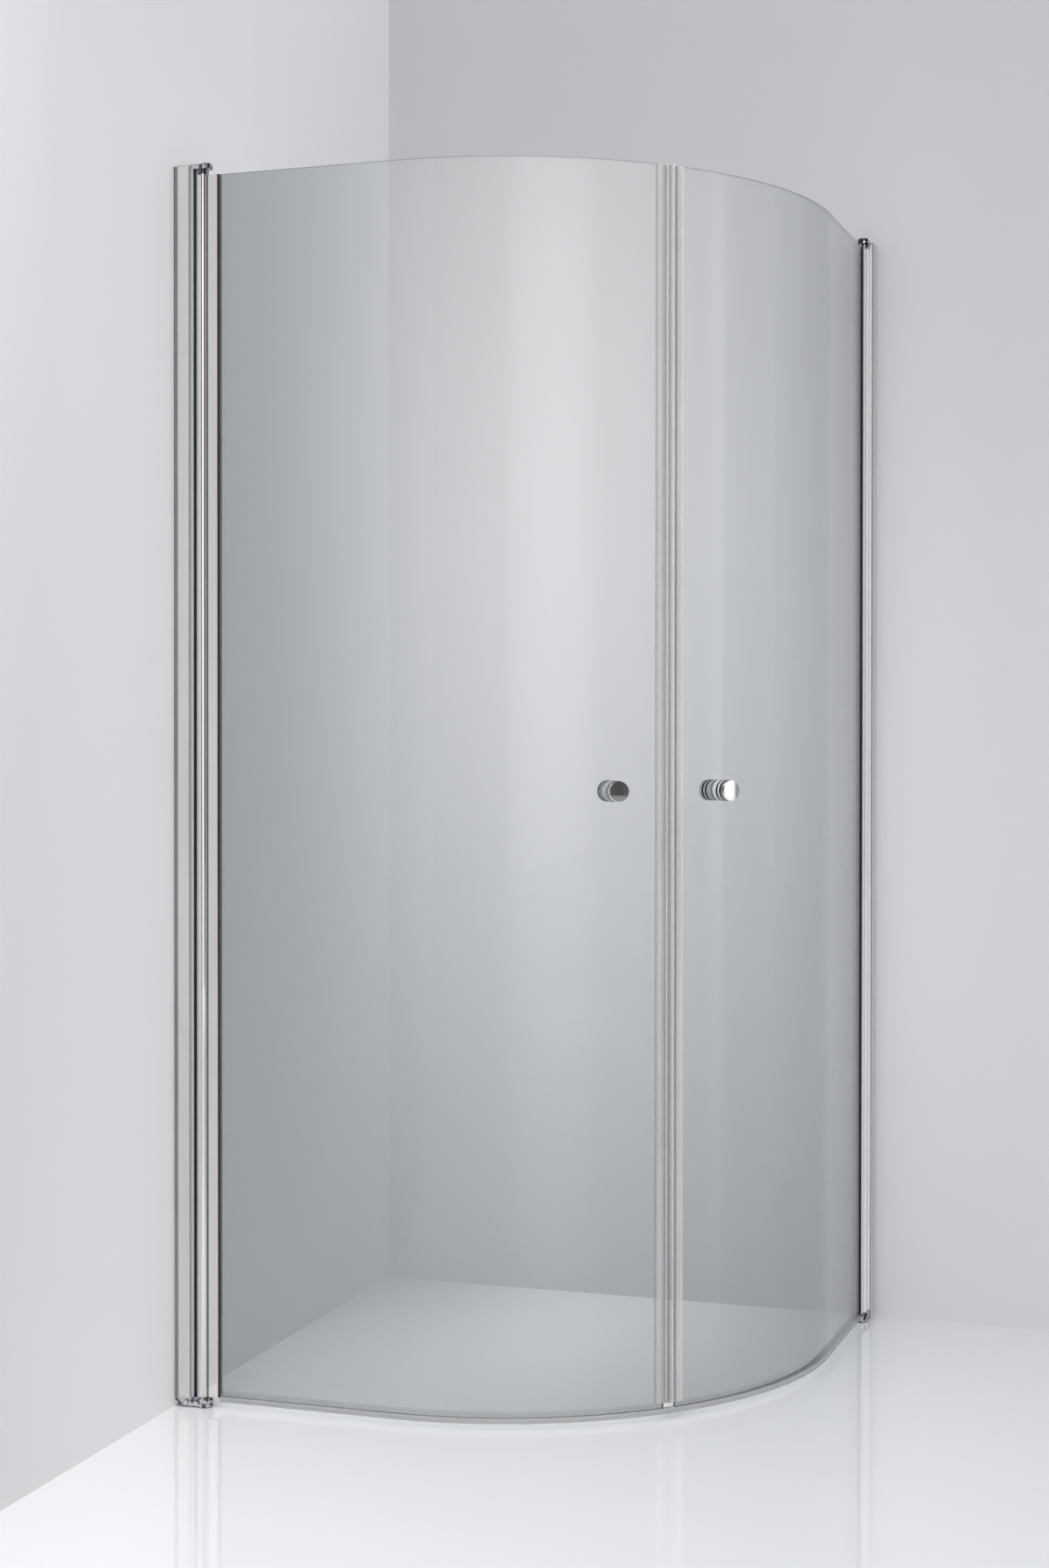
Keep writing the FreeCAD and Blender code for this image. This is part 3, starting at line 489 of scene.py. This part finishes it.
def gasket_rubber(name, side, outer, inner):
    """Glazing gasket: black outside, grey inside the shower."""
    surface = rubber_surface(name)
    outside = surface.math("GREATER_THAN", surface.outwards(side), HALF_GLASS)
    surface.colour(surface.blend(outside, inner, outer))
    return surface.material


def magnet(name, light, dark):
    """Dull dark strip."""
    surface = Surface(name, Specular_IOR_Level=0.3)
    grain = surface.noise(MAGNET_GRAIN, detail=4.0)
    surface.colour(surface.blend(surface.spread(grain, 0, 1), light, dark))
    surface.roughness(grain, smooth=0.4, rough=0.65)
    surface.bump(grain, RUBBER_BUMP)
    return surface.material


def clear_seal(name, light, dark, step):
    """Soft clear plastic with fine lines along the extrusion, and painted shade on its front at the step
    between the hollow part and the legs on the glass."""
    surface = Surface(name, IOR=SOFT_PLASTIC_IOR, Specular_IOR_Level=0.3)
    lines = surface.noise(SEAL_LINES, detail=2.0)
    middle = middle_of("left_magnet_strip").dot(SEAM_OUTWARDS)
    front = surface.math("GREATER_THAN", surface.along(surface.spot(), SEAM_OUTWARDS), middle)
    # Painted shade: the front is darker at the step.
    at_step_shade = surface.math("MULTIPLY", surface.between(surface.from_seam(), *SEAL_STEP), front)
    on_leg = surface.math("GREATER_THAN", surface.from_seam(), SEAL_STEP[0])
    surface.colour(surface.blend(at_step_shade, surface.clouded(SEAL_CLOUDS, light, dark, detail=4.0), step))
    cover = surface.math("MULTIPLY_ADD", on_leg, SEAL_LEG_COVER, SEAL_COVER)
    cover = surface.math("MULTIPLY_ADD", at_step_shade, SEAL_STEP_SHADE_COVER, cover)
    surface.link(cover, surface.shader.inputs["Alpha"])
    surface.roughness(lines, smooth=0.16, rough=0.34)
    surface.bump(lines, SEAL_BUMP)
    return surface.material


def drip_plastic(name, light, dark):
    """Soft plastic of the drip seal: grey below the glass, with all but clear legs up its faces."""
    surface = Surface(name, IOR=SOFT_PLASTIC_IOR, Specular_IOR_Level=0.2, Roughness=0.4)
    on_legs = surface.math("GREATER_THAN", surface.along(surface.spot(), UP), DRIP_LEGS)
    surface.link(surface.choose(on_legs, DRIP_COVER, DRIP_LEG_COVER), surface.shader.inputs["Alpha"])
    surface.colour(surface.clouded(SEAL_CLOUDS, light, dark, detail=4.0))
    surface.bump(surface.noise(SEAL_LINES, detail=2.0), SEAL_BUMP)
    surface.let_lamps_through(surface.shader.outputs["BSDF"])
    return surface.material


def safety_glass(name, light, dark):
    """Grey tinted glass: clear faces that reflect, most at a low angle, and darker cut edges
    along the top and at the seam."""
    surface = Surface(name, Roughness=0.12, IOR=GLASS_IOR)
    surface.colour(surface.clouded(GLASS_CLOUDS, light, dark))
    geometry = surface.node("NewGeometry")
    fresnel = surface.node("Fresnel")
    inward = surface.math("MULTIPLY", geometry.outputs["Backfacing"], 1 / GLASS_IOR - GLASS_IOR)
    surface.link(surface.math("ADD", inward, GLASS_IOR), fresnel.inputs["IOR"])
    mirror = surface.node("BsdfGlossy")
    mirror.inputs["Roughness"].default_value = 0.0
    grazing = surface.spread(fresnel.outputs["Fac"], 0, 1, 0.05, 0.4)
    surface.link(surface.blend(grazing, (0.6, 0.6, 0.6), (1.0, 1.0, 1.0)), mirror.inputs["Color"])
    clear = surface.transparent(GLASS_FACE_TINT)
    face = surface.mix_shaders(fresnel.outputs["Fac"], clear, mirror.outputs["BSDF"])
    upward = surface.math("ABSOLUTE", surface.along(geometry.outputs["Normal"], UP))
    level = surface.math("GREATER_THAN", upward, 0.5)
    high = surface.math("GREATER_THAN", surface.along(surface.spot_in_room(), UP), MID_HEIGHT)
    top_edge = surface.math("MULTIPLY", surface.math("MULTIPLY", level, high), TOP_EDGE_COVER)
    seam_edge = surface.math("LESS_THAN", surface.from_seam(), GLASS_SEAM_EDGE)
    edge = surface.math("MAXIMUM", top_edge, seam_edge)
    surface.let_lamps_through(surface.mix_shaders(edge, face, surface.shader.outputs["BSDF"]))
    return surface.material


def shared_finishes():
    """Finishes that are the same on both sides."""
    return {
        "steel": turned_chrome("stainless_steel", (0.70, 0.69, 0.67), (0.60, 0.59, 0.58)),
        "cap": moulded("cap_plastic", (0.50, 0.50, 0.50), (0.42, 0.42, 0.43)),
        "nylon": moulded("nylon", (0.78, 0.77, 0.73), (0.70, 0.69, 0.66)),
        "rubber": rubber("black_rubber", (0.020, 0.020, 0.022), (0.008, 0.008, 0.009)),
        # The step colour of the clear seal is painted shade.
        "seal": clear_seal(
            "clear_seal", (0.80, 0.79, 0.78), (0.72, 0.71, 0.70), step=(0.22, 0.21, 0.205)),
        "strip": drip_plastic("clear_strip", (0.37, 0.377, 0.375), (0.33, 0.337, 0.335)),
        "glass": safety_glass("safety_glass", (0.22, 0.25, 0.25), (0.15, 0.18, 0.18)),
        "magnet": magnet("magnet", (0.115, 0.090, 0.075), (0.070, 0.056, 0.048)),
    }


def side_finishes(side, flank_shading):
    """Finishes whose zones are measured from the side's own wall, glass and knobs."""
    return {
        # Pale bluish tip colour: painted highlight. Dark line colour: painted shadow line.
        "post": post_metal(
            side + "post", side, (0.88, 0.87, 0.85), (0.80, 0.79, 0.77),
            flank_shading, nose_highlight=(0.86, 0.92, 0.97), line=(0.20, 0.20, 0.21)),
        "gasket": gasket_rubber(
            side + "gasket", side, outer=(0.015, 0.016, 0.016), inner=(0.34, 0.35, 0.35)),
        # The grooves' colour on the knobs is painted shade.
        "knob": knob_chrome(
            side + "knob", side, (0.96, 0.96, 0.96), (0.88, 0.88, 0.89), groove_shade=(0.012, 0.012, 0.012)),
    }


def left_finishes():
    """Finishes of the left side, whose metal is a little warmer."""
    return {
        # Grey flanks: painted shade.
        **side_finishes("left_", flank_shading=(0.50, 0.50, 0.51)),
        # Painted shade: the channel is darkened like the shade in the gap by the wall.
        "channel": extruded_metal(
            "left_channel", (0.40, 0.36, 0.32), (0.31, 0.28, 0.25), smooth=0.16, rough=0.30, metallic=1.0),
        "cast": cast_chrome("left_cast", (0.66, 0.68, 0.70), (0.11, 0.115, 0.125)),
        "profile": clamp_metal(
            "left_profile", "left_", (0.86, 0.84, 0.80), (0.79, 0.77, 0.74),
            smooth=0.03, rough=0.08, metallic=1.0),
    }


def right_finishes():
    """Finishes of the right side, whose metal is neutral and whose castings have darker painted
    reflections.
    """
    return {
        # Pale flanks: painted light.
        **side_finishes("right_", flank_shading=(0.92, 0.92, 0.93)),
        # Painted shade: the channel is darkened like the shade in the gap by the wall.
        "channel": extruded_metal(
            "right_channel", (0.17, 0.165, 0.16), (0.13, 0.125, 0.12), smooth=0.25, rough=0.40,
            metallic=0.4),
        "cast": cast_chrome("right_cast", (0.58, 0.59, 0.60), (0.03, 0.03, 0.035)),
        "profile": clamp_metal(
            "right_profile", "right_", (0.93, 0.93, 0.93), (0.88, 0.88, 0.88),
            smooth=0.05, rough=0.10, metallic=0.5),
    }


NODE_FINISH = {
    "wall_channel": "channel",
    "hinge_post": "post",
    "post_cap": "cap",
    "post_seal": "rubber",
    "adjusting_screws": "steel",
    "top_arm": "cast",
    "top_pin": "steel",
    "bottom_foot": "cast",
    "bottom_pin": "steel",
    "hinge_tube": "profile",
    "top_collar": "cast",
    "top_bush": "nylon",
    "bottom_bush": "nylon",
    "glazing_gasket": "gasket",
    "door_glass": "glass",
    "magnet_seal": "seal",
    "magnet_strip": "magnet",
    "drip_seal": "strip",
    "outer_knob": "knob",
    "inner_knob": "knob",
    "knob_stud": "steel",
    "knob_sleeve": "nylon",
}


def dress_nodes():
    """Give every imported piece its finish."""
    shared = shared_finishes()
    for side, own in (("left_", left_finishes()), ("right_", right_finishes())):
        finishes = {**shared, **own}
        for piece, finish in NODE_FINISH.items():
            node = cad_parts[side + piece]
            node.data.materials.clear()
            node.data.materials.append(finishes[finish])


# ---------------------------------------------------------------- room

def panel(name, corners, material):
    """Flat panel of the stage through its corners, counterclockwise seen from its front."""
    mesh = bpy.data.meshes.new(name)
    mesh.from_pydata(corners, [], [tuple(range(len(corners)))])
    mesh.materials.append(material)
    made = bpy.data.objects.new(name, mesh)
    bpy.context.scene.collection.objects.link(made)


def wall_paint(name, painted_shading_lean, start, end, low, high, painted_light=None):
    """Matt wall, only there from its front so that the back of the object is seen too. Its colour runs
    from low to high along a direction, as painted light and shade, and an optional patch of painted light
    makes part of it paler. Behind two surfaces of glass it has the broad light patch that the panes show.
    In the tight gap behind the wall channels the wall lets light through."""
    surface = Surface(name, Roughness=0.85, Specular_IOR_Level=0.2)
    painted_shading_share = surface.spread(surface.along(surface.spot_in_room(), painted_shading_lean), 0, 1, start, end)
    paint = surface.blend(painted_shading_share, low, high)
    # Painted light: a paler patch.
    if painted_light:
        paint = surface.blend(surface.patch(**painted_light), paint, WALL_PAINTED_LIGHT_COLOUR)
    surface.colour(paint)
    surface.bump(surface.noise(WALL_GRAIN, detail=4.0), WALL_BUMP, strength=0.2)
    surface.glow_behind_glass(**WALL_GLOW)
    close = surface.math("LESS_THAN", surface.node("LightPath").outputs["Ray Length"], TIGHT_GAP)
    gone = surface.math("MAXIMUM", surface.node("NewGeometry").outputs["Backfacing"], close)
    whole = surface.mix_shaders(gone, surface.shader.outputs["BSDF"], surface.transparent())
    surface.link(whole, surface.output.inputs["Surface"])
    return surface.material


def floor_gloss(name, left, right):
    """Shiny pale floor, a little darker towards the right."""
    surface = Surface(name, Specular_IOR_Level=0.5)
    rightwards = surface.along(surface.spot_in_room(), (1, 0, 0))
    surface.colour(surface.blend(surface.spread(rightwards, 0, 1, start=-0.5, end=1.2), left, right))
    surface.roughness(surface.noise(FLOOR_CLOUDS, detail=4.0), smooth=0.0, rough=0.02)
    surface.glow_behind_glass(**FLOOR_GLOW)
    return surface.material


def make_room():
    """Two walls that meet behind the shower, a hair out of square, and the floor."""
    near, corner, far = LEFT_WALL_NEAR, ROOM_CORNER, BACK_WALL_END
    # Painted light and shade: the left wall is paler towards the corner and the back wall darker towards
    # the top.
    left_paint = wall_paint(
        "wall_left_paint", painted_shading_lean=(0, -1, 0.1), start=0.4, end=1.0,
        low=(0.86, 0.86, 0.87), high=(0.68, 0.68, 0.69))
    back_paint = wall_paint(
        "wall_back_paint", painted_shading_lean=(0.03, 0, 1), start=1.35, end=2.3,
        low=(0.725, 0.725, 0.745), high=(0.645, 0.645, 0.66), painted_light=WALL_PAINTED_LIGHT)
    panel("wall_left", [(*corner, 0), (*corner, WALL_TOP), (*near, WALL_TOP), (*near, 0)], left_paint)
    panel("wall_back", [(*corner, 0), (*far, 0), (*far, WALL_TOP), (*corner, WALL_TOP)], back_paint)
    size = FLOOR_REACH
    panel("floor", [(-size, -size, 0), (size, -size, 0), (size, size, 0), (-size, size, 0)],
          floor_gloss("floor_gloss", (0.92, 0.92, 0.93), (0.735, 0.75, 0.77)))


# ---------------------------------------------------------------- light and camera

def make_world():
    """Pale even studio, with darker and brighter sides in what glass and metal reflect."""
    world = bpy.data.worlds.new("studio")
    bpy.context.scene.world = world
    world.use_nodes = True
    studio = Nodes(world.node_tree)
    axes = studio.node("SeparateXYZ")
    studio.link(studio.node("TexCoord").outputs["Generated"], axes.inputs["Vector"])
    forwards = studio.math("MULTIPLY", axes.outputs["Y"], -1)
    turn = studio.math("DEGREES", studio.math("ARCTAN2", axes.outputs["X"], forwards))
    height = axes.outputs["Z"]
    sides = studio.math("MULTIPLY", studio.curve(turn, SIDES), studio.curve(height, SIDES_FADE))
    reflected = studio.math("ADD", sides, studio.curve(height, CEILING))
    shiny = studio.node("LightPath").outputs["Is Glossy Ray"]
    plain = studio.math("MULTIPLY", studio.math("SUBTRACT", 1, shiny), AMBIENT)
    background = studio.tree.nodes["Background"]
    background.inputs["Color"].default_value = (*STUDIO_COLOUR, 1)
    studio.link(studio.math("MULTIPLY_ADD", reflected, shiny, plain), background.inputs["Strength"])


def make_lamp(name, place, target, size, power, spread=180):
    """Soft rectangular lamp that shiny surfaces don't show."""
    data = bpy.data.lights.new(name, "AREA")
    data.shape = "RECTANGLE"
    data.size, data.size_y = size
    data.energy = power
    data.spread = math.radians(spread)
    lamp = bpy.data.objects.new(name, data)
    lamp.location = place
    lamp.rotation_euler = (Vector(target) - Vector(place)).to_track_quat("-Z", "Y").to_euler()
    lamp.visible_glossy = False
    lamp.visible_transmission = False
    bpy.context.scene.collection.objects.link(lamp)


def make_lamps():
    make_lamp("front_soft", place=(4.4, -4.4, 1.1), target=(-0.2, -0.2, 0.9), size=(2.4, 2.0), power=60)
    make_lamp("top_soft", place=(0.1, -1.5, 2.9), target=(0.0, -1.3, 0), size=(1.2, 1.2), power=12,
              spread=100)


def make_camera():
    data = bpy.data.cameras.new("camera")
    data.sensor_fit = "AUTO"
    data.sensor_width = SENSOR
    data.lens = FOCAL_PX / PHOTO_HEIGHT * SENSOR
    data.shift_x = (PHOTO_WIDTH / 2 - CENTRE_PX[0]) / PHOTO_HEIGHT
    data.shift_y = (CENTRE_PX[1] - PHOTO_HEIGHT / 2) / PHOTO_HEIGHT
    data.clip_end = CLIP_END
    camera = bpy.data.objects.new("camera", data)
    camera.matrix_world = (
        Matrix.Translation(CAMERA_PLACE)
        @ Matrix.Rotation(math.radians(CAMERA_YAW), 4, "Z")
        @ Matrix.Rotation(math.radians(90 + CAMERA_PITCH), 4, "X")
        @ Matrix.Rotation(math.radians(CAMERA_ROLL), 4, "Z")
    )
    bpy.context.scene.collection.objects.link(camera)
    bpy.context.scene.camera = camera


dress_nodes()
make_room()
make_world()
make_lamps()
make_camera()
bpy.context.scene.view_settings.view_transform = "Standard"
